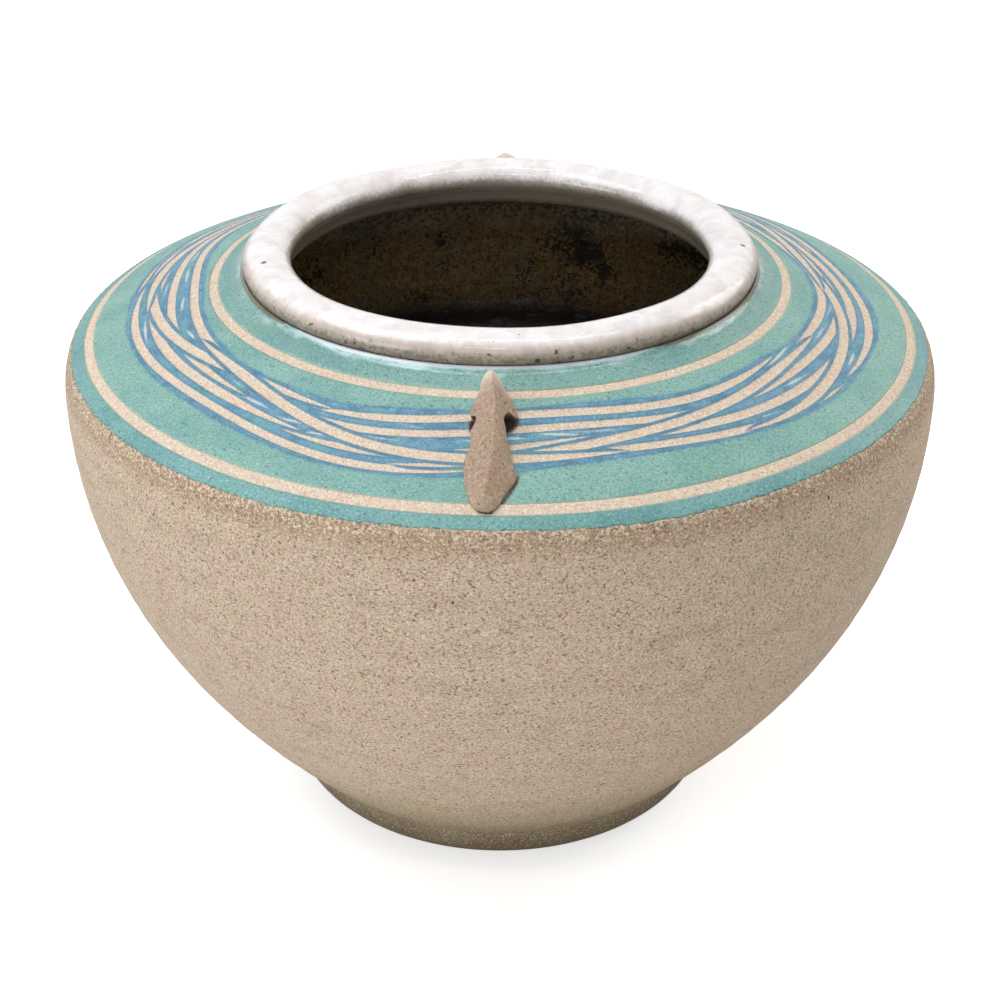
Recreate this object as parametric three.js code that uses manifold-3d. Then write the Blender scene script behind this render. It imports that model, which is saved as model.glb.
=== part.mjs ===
// A squat stoneware vase with a rolled rim and two pierced lugs on its shoulder.
// Sizes are in millimetres. +Z is up, the pot's axis is the Z axis and its foot stands on z = 0.
// The front lug lies towards -Y and its twin towards +Y.

import * as THREE from 'three';
import { mergeVertices } from 'three/addons/utils/BufferGeometryUtils.js';
import Module from 'manifold-3d';

// Foot: a turned ring with a shallow recess inside it
const FOOT_RADIUS = 42.5;
const FOOT_RING_WIDTH = 6;
const FOOT_RECESS = 3;
const FOOT_HEIGHT = 13.7;
const FOOT_EDGE_REACH = 17;
const FOOT_EDGE_LIFT = 1.9;
const WAIST_HOLLOW = 3;
const RECESS_SLOPE = 1.5;

// Belly: from the waist above the foot to the widest place
const WAIST_RADIUS = 58.8;
const BELLY_RADIUS = 110;
const BELLY_RISE = 105.6;
const BELLY_LEAN = 44.5;
const LOW_BELLY_FULLNESS = 0.305;
const HIGH_BELLY_FULLNESS = 0.4;

// Shoulder: it turns over a soft edge, then climbs gently to the rim
const EDGE_INSET = 6.8;
const EDGE_RISE = 13.1;
const EDGE_SLOPE = 26;
const LOW_EDGE_FULLNESS = 0.705;
const HIGH_EDGE_FULLNESS = 0.3;
const SHOULDER_RISE = 14.9;
const RIM_JUNCTION_SLOPE = 24;
const SHOULDER_FULLNESS = 0.2;

// Thrown wall, floor and neck
const WALL = 6.5;
const FLOOR = 8;
const FLOOR_FLAT_RADIUS = 41;
const FLOOR_FULLNESS = 0.4;
const NECK_WALL = 9.9;
const NECK_FULLNESS = 0.5;

// Rolled rim: an oval ring that sits on the neck
const RIM_RADIUS = 58.4;
const RIM_WIDTH = 12;
const RIM_HEIGHT = 8.8;
const RIM_SEAT_WIDTH = 5.8;

// Coats of slip and glaze, and the carved rings that part the slip
const SLIP = 0.4;
const RIM_GLAZE = 0.4;
const LINER_GLAZE = 0.4;
const RING_WIDTH = 2.8;
const INNER_RING_FROM_RIM = 8.5;
const SLIP_BELOW_OUTER_RING = 5.6;
const CLEARANCE = 0.3;

// Lug: a ridge of clay pinched up from a pad, pierced sideways under its strap
const LUG_FROM_RIM = 5.6;
const LUG_TIP_PAST_RING = 1.4;
const LUG_WIDTH = 11.8;
const LUG_HEIGHT = 6.4;
const LUG_ROOT = 2;
const HOLE_ALONG_SHARE = 0.385;
const HOLE_LENGTH = 5;
const HOLE_HEIGHT = 3.7;
const HOLE_HALF_HEIGHT = 3.3;

// Smoothness
const AROUND = 56;
const BELLY_STEPS = 8;
const HOLLOW_STEPS = 5;
const EDGE_STEPS = 4;
const FOOT_STEPS = 5;
const SHOULDER_STEPS = 4;
const FLOOR_STEPS = 3;
const NECK_STEPS = 2;
const RIM_STEPS = 10;
const GLAZE_STEPS = 8;
const LUG_STEPS = 20;
const HOLE_STEPS = 18;

// What lies at the axis or beyond the pot, used only to close the cutting solids
const BEYOND = 20;

const radians = THREE.MathUtils.degToRad;
const point = (r, z) => new THREE.Vector2(r, z);

// A curve from one end to the other that leaves and arrives along given directions.
// The two arms are shares of the straight distance between the ends.
function sweep(from, leave, armFrom, to, arrive, armTo) {
  const chord = from.distanceTo(to);
  const first = from.clone().addScaledVector(leave, armFrom * chord);
  const second = to.clone().addScaledVector(arrive, -armTo * chord);
  return new THREE.CubicBezierCurve(from, first, second, to);
}

// The directions in which the wall climbs at four heights
const UP = point(0, 1);
const OUT = point(1, 0);
const WAIST_WAY = point(Math.sin(radians(BELLY_LEAN)), Math.cos(radians(BELLY_LEAN)));
const EDGE_WAY = point(-Math.cos(radians(EDGE_SLOPE)), Math.sin(radians(EDGE_SLOPE)));
const JUNCTION_WAY = point(
  -Math.cos(radians(RIM_JUNCTION_SLOPE)), Math.sin(radians(RIM_JUNCTION_SLOPE)));

// The point at a depth below the surface, for a wall that climbs along a direction
function below(surfacePoint, way, depth) {
  return point(surfacePoint.x - way.y * depth, surfacePoint.y + way.x * depth);
}

// Oval of the rim at a thickness below its glaze: its half width, half height and flat underside
const BED = SLIP + CLEARANCE;
const rimHalfWidth = (depth) => RIM_WIDTH / 2 - depth;
const rimHalfHeight = (depth) => RIM_HEIGHT / 2 - depth;
const ROLL_DEPTH = RIM_GLAZE + CLEARANCE;
const SEAT_SHARE = RIM_SEAT_WIDTH / 2 / rimHalfWidth(ROLL_DEPTH);
const ROLL_ABOVE_LAND = rimHalfHeight(ROLL_DEPTH) * Math.sqrt(1 - SEAT_SHARE ** 2);

// Main points of the outer surface
const WAIST = point(WAIST_RADIUS, FOOT_HEIGHT);
const WIDEST = point(BELLY_RADIUS, FOOT_HEIGHT + BELLY_RISE);
const EDGE = point(BELLY_RADIUS - EDGE_INSET, WIDEST.y + EDGE_RISE);
const JUNCTION_HEIGHT = EDGE.y + SHOULDER_RISE;
const LAND = JUNCTION_HEIGHT - BED / Math.cos(radians(RIM_JUNCTION_SLOPE));
const RIM_CENTRE_HEIGHT = LAND + ROLL_ABOVE_LAND;
const CREASE_SHARE = (RIM_CENTRE_HEIGHT - JUNCTION_HEIGHT) / rimHalfHeight(0);
const CREASE_REACH = rimHalfWidth(0) * Math.sqrt(1 - CREASE_SHARE ** 2);
const JUNCTION = point(RIM_RADIUS + CREASE_REACH + CLEARANCE, JUNCTION_HEIGHT);
const BORE_RADIUS = JUNCTION.x - NECK_WALL;

// The wall's long curves at a depth below the outer surface: 0 is the outside of the pot
function bellyCurve(depth) {
  const low = below(WAIST, WAIST_WAY, depth);
  const high = below(WIDEST, UP, depth);
  return sweep(low, WAIST_WAY, LOW_BELLY_FULLNESS, high, UP, HIGH_BELLY_FULLNESS);
}

function edgeCurve(depth) {
  const low = below(WIDEST, UP, depth);
  const high = below(EDGE, EDGE_WAY, depth);
  return sweep(low, UP, LOW_EDGE_FULLNESS, high, EDGE_WAY, HIGH_EDGE_FULLNESS);
}

function shoulderCurve(depth) {
  const low = below(EDGE, EDGE_WAY, depth);
  const high = below(JUNCTION, JUNCTION_WAY, depth);
  return sweep(low, EDGE_WAY, SHOULDER_FULLNESS, high, JUNCTION_WAY, SHOULDER_FULLNESS);
}

// Places on the shoulder are measured along its surface from the outer carved ring:
// above zero towards the rim, below zero over the edge.
const OUTSIDE_EDGE = edgeCurve(0);
const OUTSIDE_SHOULDER = shoulderCurve(0);
const EDGE_LENGTH = OUTSIDE_EDGE.getLength();
const SHOULDER_LENGTH = OUTSIDE_SHOULDER.getLength();

function onShoulder(distance, depth) {
  const overEdge = distance < 0;
  const curve = overEdge ? OUTSIDE_EDGE : OUTSIDE_SHOULDER;
  const share = overEdge ? 1 + distance / EDGE_LENGTH : distance / SHOULDER_LENGTH;
  return below(curve.getPointAt(share), curve.getTangentAt(share), depth);
}

// Each slip band runs from one distance to another
const INNER_RING = SHOULDER_LENGTH - INNER_RING_FROM_RIM;
const SLIP_END = -SLIP_BELOW_OUTER_RING;
const OUTER_BAND = spread(SLIP_END, -RING_WIDTH / 2, 2);
const MIDDLE_BAND = spread(RING_WIDTH / 2, INNER_RING - RING_WIDTH / 2, SHOULDER_STEPS);
const INNER_BAND = spread(INNER_RING + RING_WIDTH / 2, SHOULDER_LENGTH - CLEARANCE, 1);
const WHOLE_SHOULDER = [...OUTER_BAND, ...MIDDLE_BAND, ...INNER_BAND];

function spread(from, to, steps) {
  return Array.from({ length: steps + 1 }, (_, i) => from + (to - from) * i / steps);
}

// A profile turned about the pot's axis, as one closed mesh with shared corners
function turned(profile) {
  const lathe = new THREE.LatheGeometry(profile, AROUND);
  const place = lathe.attributes.position;
  for (let i = 0; i < place.count; i += 1) {
    place.setXYZ(i, place.getX(i), -place.getZ(i), place.getY(i));
  }
  return welded(lathe);
}

function welded(geometry) {
  geometry.deleteAttribute('normal');
  geometry.deleteAttribute('uv');
  const merged = mergeVertices(geometry, 1e-4);
  const corners = merged.index.array;
  const kept = [];
  for (let i = 0; i < corners.length; i += 3) {
    const [a, b, c] = corners.subarray(i, i + 3);
    if (a !== b && b !== c && c !== a) kept.push(a, b, c);
  }
  merged.setIndex(kept);
  merged.computeVertexNormals();
  return merged;
}

// A coat of even thickness: its outer face one way and its inner face back
function coat(face, steps, outerDepth, innerDepth) {
  const outer = steps.map((step) => face(step, outerDepth));
  const inner = steps.map((step) => face(step, innerDepth)).reverse();
  return turned([...outer, ...inner, outer[0]]);
}

// The hollow of the pot at a depth below the outside, from the axis up to the neck's flat land
function hollowProfile(depth) {
  const floor = FOOT_RECESS + FLOOR + depth - WALL;
  const belly = bellyCurve(depth);
  const fillet = sweep(
    point(FLOOR_FLAT_RADIUS, floor), OUT, FLOOR_FULLNESS, belly.v0, WAIST_WAY, FLOOR_FULLNESS);
  const shoulder = shoulderCurve(depth);
  const bore = point(BORE_RADIUS + WALL - depth, LAND);
  const neck = sweep(shoulder.v3, JUNCTION_WAY, NECK_FULLNESS, bore, UP, NECK_FULLNESS);
  return [
    point(0, floor),
    ...fillet.getPoints(FLOOR_STEPS),
    ...belly.getPoints(HOLLOW_STEPS).slice(1),
    ...edgeCurve(depth).getPoints(NECK_STEPS).slice(1),
    shoulder.v3,
    ...neck.getPoints(NECK_STEPS).slice(1),
  ];
}

function thrownBody() {
  const footInner = FOOT_RADIUS - FOOT_RING_WIDTH;
  const footEdge = new THREE.CubicBezierCurve(
    point(FOOT_RADIUS, 0),
    point(FOOT_RADIUS + FOOT_EDGE_REACH, FOOT_EDGE_LIFT),
    WAIST.clone().addScaledVector(WAIST_WAY, -WAIST_HOLLOW),
    WAIST);
  const slipStart = 1 + (SLIP_END - CLEARANCE) / EDGE_LENGTH;
  const turn = spread(0, slipStart, EDGE_STEPS).map((share) => OUTSIDE_EDGE.getPointAt(share));
  const bed = WHOLE_SHOULDER.slice(1, -1).map((distance) => onShoulder(distance, BED));
  return turned([
    point(0, FOOT_RECESS),
    point(footInner - RECESS_SLOPE, FOOT_RECESS),
    point(footInner, 0),
    ...footEdge.getPoints(FOOT_STEPS),
    ...bellyCurve(0).getPoints(BELLY_STEPS).slice(1),
    ...turn.slice(1),
    onShoulder(SLIP_END - CLEARANCE, BED),
    ...bed,
    point(JUNCTION.x, LAND),
    ...hollowProfile(WALL).reverse(),
  ]);
}

// A place on the rim's oval, by the angle round its centre: 0 faces outwards, 90 degrees is the top
function onRim(angle, depth) {
  return point(
    RIM_RADIUS + rimHalfWidth(depth) * Math.cos(angle),
    RIM_CENTRE_HEIGHT + rimHalfHeight(depth) * Math.sin(angle));
}

function rolledRim() {
  const seatAngle = Math.asin(ROLL_ABOVE_LAND / rimHalfHeight(ROLL_DEPTH));
  const roll = spread(-seatAngle, Math.PI + seatAngle, RIM_STEPS)
    .map((angle) => onRim(angle, ROLL_DEPTH));
  roll[0].y = LAND;
  roll[RIM_STEPS].y = LAND;
  return turned([...roll, roll[0]]);
}

function rimGlaze() {
  const creaseAngle = Math.asin(CREASE_SHARE);
  const angles = spread(-creaseAngle, Math.PI + creaseAngle, GLAZE_STEPS);
  return coat(onRim, angles, 0, RIM_GLAZE);
}

function linerGlaze() {
  const clayFace = hollowProfile(WALL + CLEARANCE);
  const openFace = hollowProfile(WALL + CLEARANCE + LINER_GLAZE);
  return turned([...clayFace, ...openFace.reverse()]);
}

// Lug stations: how far along the lug, the half width and the height as shares of the full ones,
// how far the fingers pushed the clay to the right, as a share of the width, and how sharply they
// pinched it, from 0 for a rounded pad to 1 for a gable. The wings above the hole flare widest.
const LUG_STATIONS = [
  { along: 0.0, width: 0.3, height: 0.24, side: 0.0, pinch: 1 },
  { along: 0.053, width: 0.54, height: 1.0, side: 0.0, pinch: 1 },
  { along: 0.136, width: 0.8, height: 0.97, side: 0.01, pinch: 1 },
  { along: 0.224, width: 0.96, height: 0.9, side: 0.03, pinch: 1 },
  { along: 0.325, width: 1.0, height: 0.84, side: 0.08, pinch: 0.9 },
  { along: 0.448, width: 0.66, height: 0.77, side: 0.0, pinch: 0 },
  { along: 0.549, width: 0.81, height: 0.68, side: 0.0, pinch: 0 },
  { along: 0.667, width: 0.95, height: 0.6, side: 0.04, pinch: 0 },
  { along: 0.8, width: 0.92, height: 0.47, side: 0.05, pinch: 0 },
  { along: 0.907, width: 0.62, height: 0.32, side: 0.01, pinch: 0 },
  { along: 1.0, width: 0.14, height: 0.1, side: -0.01, pinch: 0 },
];

// One half of the lug's cross-section, from its foot to its crest, as shares of width and height
const PAD_SECTION = [[1, 0], [0.99, 0.25], [0.94, 0.5], [0.8, 0.74], [0.5, 0.93], [0, 1.02]];
const GABLE_SECTION = [[1, 0], [0.8, 0.28], [0.62, 0.52], [0.46, 0.74], [0.31, 0.92], [0, 1.02]];

// The lug lies between the rim and the outer carved ring, where its tip ends
const LUG_LENGTH = SHOULDER_LENGTH - LUG_FROM_RIM + LUG_TIP_PAST_RING;

// A smooth line through one measure of all the stations
function stationLine(measure) {
  return new THREE.SplineCurve(
    LUG_STATIONS.map((station) => point(station.along, station[measure])));
}

const lugWidth = stationLine('width');
const lugHeight = stationLine('height');
const lugSide = stationLine('side');
const lugPinch = stationLine('pinch');

// A ring of corners round the lug at a share of its stations. x is sideways (to the left for
// someone who faces the lug), y runs down the slope and z stands on it; the root reaches into
// the slope so that it can be trimmed.
// Where the clay is pinched, its crest stays in line and only its foot is pushed sideways.
function lugRing(share) {
  const along = lugWidth.getPoint(share).x * LUG_LENGTH;
  const halfWidth = lugWidth.getPoint(share).y * LUG_WIDTH / 2;
  const height = lugHeight.getPoint(share).y * LUG_HEIGHT;
  const side = lugSide.getPoint(share).y * LUG_WIDTH;
  const pinch = THREE.MathUtils.clamp(lugPinch.getPoint(share).y, 0, 1);
  const half = PAD_SECTION.map(([x, z], i) => [
    THREE.MathUtils.lerp(x, GABLE_SECTION[i][0], pinch) * halfWidth,
    THREE.MathUtils.lerp(z, GABLE_SECTION[i][1], pinch) * height,
  ]);
  const right = [[halfWidth, -LUG_ROOT], ...half];
  const left = right.slice(0, -1).reverse().map(([x, z]) => [-x, z]);
  const push = (z) => side * (1 - pinch * THREE.MathUtils.clamp(z / height, 0, 1));
  return [...right, ...left].map(([x, z]) => [x - push(z), along, z]);
}

// A closed mesh through rings of equal length, with a flat fan on each end
function lofted(rings) {
  const count = rings[0].length;
  const last = (rings.length - 1) * count;
  const faces = [];
  for (let row = 0; row < rings.length - 1; row += 1) {
    for (let i = 0; i < count; i += 1) {
      const a = row * count + i;
      const b = row * count + (i + 1) % count;
      faces.push(a, a + count, b, b, a + count, b + count);
    }
  }
  for (let i = 1; i < count - 1; i += 1) {
    faces.push(0, i, i + 1);
    faces.push(last, last + i + 1, last + i);
  }
  const geometry = new THREE.BufferGeometry();
  geometry.setAttribute('position', new THREE.Float32BufferAttribute(rings.flat(2), 3));
  geometry.setIndex(faces);
  return geometry;
}

const wasm = await Module();
wasm.setup();

function toSolid(geometry) {
  const vertProperties = Float32Array.from(geometry.attributes.position.array);
  const triVerts = Uint32Array.from(geometry.index.array);
  return new wasm.Manifold(new wasm.Mesh({ numProp: 3, vertProperties, triVerts }));
}

function toGeometry(solid) {
  const mesh = solid.getMesh();
  const geometry = new THREE.BufferGeometry();
  geometry.setAttribute('position', new THREE.Float32BufferAttribute(mesh.vertProperties, 3));
  geometry.setIndex(Array.from(mesh.triVerts));
  geometry.computeVertexNormals();
  return geometry;
}

// The shoulder with its slip, raised by the clearance: it trims the root of each lug
function shoulderCutter() {
  const surface = WHOLE_SHOULDER.map((distance) => onShoulder(distance, -CLEARANCE));
  const low = surface[0].y - BEYOND;
  return toSolid(turned([
    point(0, low),
    point(surface[0].x, low),
    ...surface,
    point(0, surface[surface.length - 1].y),
  ]));
}

// The oval hole that pierces the lug from side to side, down to the slip
function lugHole() {
  const reach = LUG_WIDTH + BEYOND;
  const hole = new THREE.CylinderGeometry(1, 1, reach, HOLE_STEPS);
  hole.rotateZ(Math.PI / 2);
  hole.scale(1, HOLE_LENGTH / 2, HOLE_HALF_HEIGHT);
  hole.translate(0, HOLE_ALONG_SHARE * LUG_LENGTH, HOLE_HEIGHT - HOLE_HALF_HEIGHT);
  return welded(hole);
}

// A lug in its place, turned about the pot's axis from the front by an angle
function lug(turn) {
  const top = onShoulder(SHOULDER_LENGTH - LUG_FROM_RIM, 0);
  const tip = onShoulder(SHOULDER_LENGTH - LUG_FROM_RIM - LUG_LENGTH, 0);
  const slope = Math.atan2(top.y - tip.y, tip.x - top.x);
  const place = new THREE.Matrix4()
    .makeRotationZ(turn)
    .multiply(new THREE.Matrix4().makeTranslation(0, -top.x, top.y))
    .multiply(new THREE.Matrix4().makeRotationX(slope))
    .multiply(new THREE.Matrix4().makeRotationZ(Math.PI));
  const ridge = lofted(spread(0, 1, LUG_STEPS).map(lugRing)).applyMatrix4(place);
  const hole = lugHole().applyMatrix4(place);
  return toGeometry(toSolid(ridge).subtract(toSolid(hole)).subtract(shoulderCutter()));
}

function finish(color, roughness) {
  return new THREE.MeshStandardMaterial({ color, roughness, metalness: 0 });
}

const stoneware = finish('#cdbaa5', 0.9);
const lugClay = finish('#b9a08a', 0.8);
const turquoiseSlip = finish('#7fbfb0', 0.6);
const tealSlip = finish('#6ab0aa', 0.6);
const braidedSlip = finish('#70a9b3', 0.6);
const whiteGlaze = finish('#ede3e0', 0.15);
const brownGlaze = finish('#2b2218', 0.2);

const vase = new THREE.Group();

function add(name, geometry, material) {
  const mesh = new THREE.Mesh(geometry, material);
  mesh.name = name;
  vase.add(mesh);
}

add('thrown_body', thrownBody(), stoneware);
add('rolled_rim', rolledRim(), stoneware);
add('rim_glaze', rimGlaze(), whiteGlaze);
add('liner_glaze', linerGlaze(), brownGlaze);
add('slip_band_inner', coat(onShoulder, INNER_BAND, 0, SLIP), turquoiseSlip);
add('slip_band_middle', coat(onShoulder, MIDDLE_BAND, 0, SLIP), braidedSlip);
add('slip_band_outer', coat(onShoulder, OUTER_BAND, 0, SLIP), tealSlip);
add('front_lug', lug(0), lugClay);
add('rear_lug', lug(Math.PI), lugClay);

export default vase;
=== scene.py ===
# %% [markdown]
# # A squat stoneware vase with two pierced lugs
#
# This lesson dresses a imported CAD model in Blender. The vase is wheel-thrown stoneware: a round
# wall with a rolled rim, three bands of turquoise slip parted by two carved rings, and two small
# lugs that were pinched and pierced by hand. The CAD model gives every size and place. Blender
# adds what the hand and the kiln left: the grit, the ragged edge of the slip, the carved strokes
# and the running glaze. Lengths are in millimetres until they go into a mesh.

# %% Load the fixed frame
import math

import bpy
import numpy as np
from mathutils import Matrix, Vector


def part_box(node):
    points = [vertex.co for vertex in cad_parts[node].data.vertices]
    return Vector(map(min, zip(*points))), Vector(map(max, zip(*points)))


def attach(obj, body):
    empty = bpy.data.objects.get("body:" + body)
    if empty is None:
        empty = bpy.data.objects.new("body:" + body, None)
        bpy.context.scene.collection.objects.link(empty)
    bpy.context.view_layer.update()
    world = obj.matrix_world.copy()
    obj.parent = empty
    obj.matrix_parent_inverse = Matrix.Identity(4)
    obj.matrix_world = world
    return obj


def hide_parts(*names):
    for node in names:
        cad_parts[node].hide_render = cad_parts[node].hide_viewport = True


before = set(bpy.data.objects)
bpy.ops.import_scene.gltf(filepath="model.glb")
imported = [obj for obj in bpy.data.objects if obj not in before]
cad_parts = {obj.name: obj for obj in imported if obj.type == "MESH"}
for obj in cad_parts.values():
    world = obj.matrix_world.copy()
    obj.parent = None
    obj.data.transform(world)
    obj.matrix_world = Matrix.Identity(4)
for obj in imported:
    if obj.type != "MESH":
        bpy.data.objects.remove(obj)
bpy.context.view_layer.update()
MM = 0.001
TURN = 2 * math.pi
print("nodes in the frame:", sorted(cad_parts))

# %% [markdown]
# ## The outline of the pot
#
# A thrown pot is one line turned about an axis. The line runs from the edge of the foot, over
# the belly and the soft edge of the shoulder, up to the rim. Four cubic curves end to end
# describe it, each leaving and arriving along the way the wall climbs there. Outer sizes are
# measured on the frame, so the fine surface lies on the CAD solid.

# %% Sizes that the frame gives
body_low, body_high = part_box("thrown_body")
glaze_low, glaze_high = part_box("rim_glaze")
BELLY_RADIUS = body_high.x / MM
LAND_HEIGHT = body_high.z / MM
RIM_TOP = glaze_high.z / MM
RIM_OUTSIDE = glaze_high.x / MM
print(f"belly {BELLY_RADIUS:.1f}, neck land {LAND_HEIGHT:.1f}, rim top {RIM_TOP:.1f} mm")

# %% Main points of the outline, as (radius, height)
FOOT_RADIUS = 42.5
RIM_WIDTH = 12.0
RIM_HEIGHT = 8.8
RIM_RADIUS = RIM_OUTSIDE - RIM_WIDTH / 2
RIM_CENTRE = RIM_TOP - RIM_HEIGHT / 2
RIM_GAP = 0.3
WAIST = np.array([58.8, 13.7])
WIDEST = np.array([BELLY_RADIUS, 119.3])
EDGE = np.array([103.2, 132.4])
JUNCTION_HEIGHT = EDGE[1] + 14.9
crease_share = (RIM_CENTRE - JUNCTION_HEIGHT) / (RIM_HEIGHT / 2)
CREASE_ANGLE = math.asin(crease_share)
JUNCTION = np.array([
    RIM_RADIUS + RIM_WIDTH / 2 * math.cos(CREASE_ANGLE) + RIM_GAP, JUNCTION_HEIGHT])


def way(degrees):
    """The direction that climbs at an angle above the horizontal, outwards at 0 and inwards at 180"""
    return np.array([math.cos(math.radians(degrees)), math.sin(math.radians(degrees))])


UP = way(90)
WAIST_WAY = way(90 - 44.5)
EDGE_WAY = way(180 - 26)
JUNCTION_WAY = way(180 - 24)
print("rim junction at", JUNCTION.round(2))


# %% The four curves and the distance along them
CURVE_POINTS = 240


def cubic(*handles):
    """Points of a cubic curve: each handle weighed by its share of (t + (1 - t)) cubed"""
    t = np.linspace(0, 1, CURVE_POINTS)[:, None]
    weights = [(1 - t) ** 3, 3 * t * (1 - t) ** 2, 3 * t ** 2 * (1 - t), t ** 3]
    return sum(weight * handle for weight, handle in zip(weights, handles))


def curve(start, leave, arm, end, arrive, far_arm):
    """A cubic curve: its inner points lie at shares of the chord, along the two directions"""
    chord = np.linalg.norm(end - start)
    return cubic(start, start + leave * arm * chord, end - arrive * far_arm * chord, end)


def below(place, climb, depth):
    """The point at a depth under the surface, square to the way it climbs"""
    return place + depth * np.array([-climb[1], climb[0]])


def outline(depth):
    """The long curves of the wall at a depth below the outside, from the waist to the rim"""
    ends = ((WAIST, WAIST_WAY), (WIDEST, UP), (EDGE, EDGE_WAY), (JUNCTION, JUNCTION_WAY))
    low, wide, edge, top = (below(place, climb, depth) for place, climb in ends)
    return [curve(low, WAIST_WAY, 0.305, wide, UP, 0.4),
            curve(wide, UP, 0.705, edge, EDGE_WAY, 0.3),
            curve(edge, EDGE_WAY, 0.2, top, JUNCTION_WAY, 0.2)]


def run_along(line):
    """How far along a line each of its points lies: the running sum of its steps"""
    return np.concatenate([[0], np.cumsum(np.linalg.norm(np.diff(line, axis=0), axis=1))])


foot_edge = cubic(np.array([FOOT_RADIUS, 0.0]), np.array([FOOT_RADIUS + 17.0, 1.9]),
                  WAIST - 3.0 * WAIST_WAY, WAIST)
belly, soft_edge, shoulder = outline(0)
LINE = np.concatenate([foot_edge, belly[1:], soft_edge[1:], shoulder[1:]])
SHOULDER_LENGTH = run_along(shoulder)[-1]
ALONG = run_along(LINE)
ALONG -= ALONG[-1] - SHOULDER_LENGTH
FOOT_START = ALONG[0]
slopes = np.gradient(LINE, ALONG, axis=0)
slopes /= np.linalg.norm(slopes, axis=1)[:, None]
print(f"shoulder {SHOULDER_LENGTH:.1f} mm, whole outline {ALONG[-1] - FOOT_START:.1f} mm")


# %% [markdown]
# ## From a line to a surface
#
# Every round piece is a grid: rows follow the outline and columns go round the pot. A place on
# the shoulder is given by its distance along the outline from the outer carved ring, plus towards
# the rim and minus over the edge. A hand never cuts a perfect circle, so edges wander by a
# few waves that close on themselves round the pot.

# %% Points on the outline, and waves that close on themselves
def outside(distance, depth=0.0):
    """Radius and height at a distance along the outline: the line's point, less depth times its normal"""
    radius, height = (np.interp(distance, ALONG, LINE[:, k]) for k in (0, 1))
    along_r, along_z = (np.interp(distance, ALONG, slopes[:, k]) for k in (0, 1))
    return radius - depth * along_z, height + depth * along_r


def around(columns):
    """The angle of each column: 0 faces the front (-Y), and it grows towards +X"""
    return np.arange(columns) * TURN / columns


def waves(angle, slowest, fastest, count, seed):
    """A periodic wander of about -1 to 1: a mean of cosines with whole numbers of turns"""
    rng = np.random.default_rng(seed)
    turns = rng.integers(slowest, fastest + 1, count)
    phase = rng.uniform(0, TURN, count)
    total = np.cos(angle[..., None] * turns + phase).sum(-1)
    return total / math.sqrt(count)


def bump(x, centre, width):
    """A smooth hill: e to the minus square of the distance over the width"""
    return np.exp(-((x - centre) / width) ** 2)


def ease(x, low, high):
    """0 below low, 1 above high, and a smooth S between them"""
    t = np.clip((x - low) / (high - low), 0, 1)
    return t * t * (3 - 2 * t)


# %% Faces between rows and columns
def quads(rows, columns, wrap_rows):
    """Four corners for each cell of the grid. Columns always close on themselves."""
    row = np.arange(rows if wrap_rows else rows - 1)[:, None]
    column = np.arange(columns)
    after, beside = (row + 1) % rows, (column + 1) % columns
    corners = [row * columns + column, row * columns + beside,
               after * columns + beside, after * columns + column]
    return np.stack(corners, -1).reshape(-1, 4).tolist()


# %% Put a mesh, a lamp or a camera in the scene
def put(name, data):
    """A new object at the origin of the scene"""
    thing = bpy.data.objects.new(name, data)
    bpy.context.scene.collection.objects.link(thing)
    return thing


def shape(name, places, faces):
    """A new object with a mesh, whose corners are given in millimetres"""
    mesh = bpy.data.meshes.new(name)
    mesh.from_pydata((places * MM).tolist(), [], faces)
    return put(name, mesh)


def make_piece(name, places, faces, marks, material, slot, stands_for):
    """A smooth piece of the pot, with named values on its points"""
    piece = shape(name, places, faces)
    mesh = piece.data
    mesh.polygons.foreach_set("use_smooth", np.ones(len(mesh.polygons), bool))
    for mark, values in marks.items():
        layer = mesh.attributes.new(mark, "FLOAT", "POINT")
        layer.data.foreach_set("value", np.ascontiguousarray(values, np.float32))
    mesh.materials.append(material)
    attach(piece, "root")
    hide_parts(stands_for)
    triangles = sum(len(face) - 2 for face in faces)
    print(f"{name}: {triangles} triangles")


# %% Turn a section about the axis
def stacked(*sections):
    """Radii and heights of several sections, whose rows follow one another"""
    return [np.concatenate([section[k] for section in sections]) for k in (0, 1)]


def turned(name, radius, height, marks, ring, **finish):
    """A turned piece. x = r sin(angle) and y = -r cos(angle). A ring closes on itself, and any
    other piece starts and ends on the axis, where a fan of triangles meets one point."""
    rows, columns = radius.shape
    angle = around(columns)
    places = np.stack([radius * np.sin(angle), -radius * np.cos(angle), height], -1).reshape(-1, 3)
    faces = quads(rows, columns, ring)
    marks = {mark: np.broadcast_to(value, radius.shape).reshape(-1) for mark, value in marks.items()}
    if not ring:
        first_pole, last = len(places), (rows - 1) * columns
        here = np.arange(columns)
        beside = np.roll(here, -1)
        faces += np.stack([first_pole + 0 * here, beside, here], -1).tolist()
        faces += np.stack([last + here, last + beside, first_pole + 1 + 0 * here], -1).tolist()
        places = np.concatenate([places, [[0, 0, height[0].mean()], [0, 0, height[-1].mean()]]])
        marks = {mark: np.concatenate([value, value[[0, last]]]) for mark, value in marks.items()}
    make_piece(name, places, faces, marks, **finish)


# %% [markdown]
# ## Building materials from nodes
#
# Every finish on this pot is mixed from noise at a real scale. One helper adds a node, sets it
# and links what feeds it. The others each do a potter's job with a few nodes: lay a colour over
# another, mottle it, fray an edge. Positions come from Object coordinates turned to millimetres,
# so a speck of 0.6 mm in a material is 0.6 mm on the pot.

# %% Colours, and the one function that adds a node
def colour(code):
    """A linear colour from an sRGB hex value: each channel c goes to ((c + 0.055) / 1.055) to the 2.4"""
    channels = [int(code[i:i + 2], 16) / 255 for i in (1, 3, 5)]
    linear = [c / 12.92 if c <= 0.04045 else ((c + 0.055) / 1.055) ** 2.4 for c in channels]
    return (*linear, 1.0)


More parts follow.
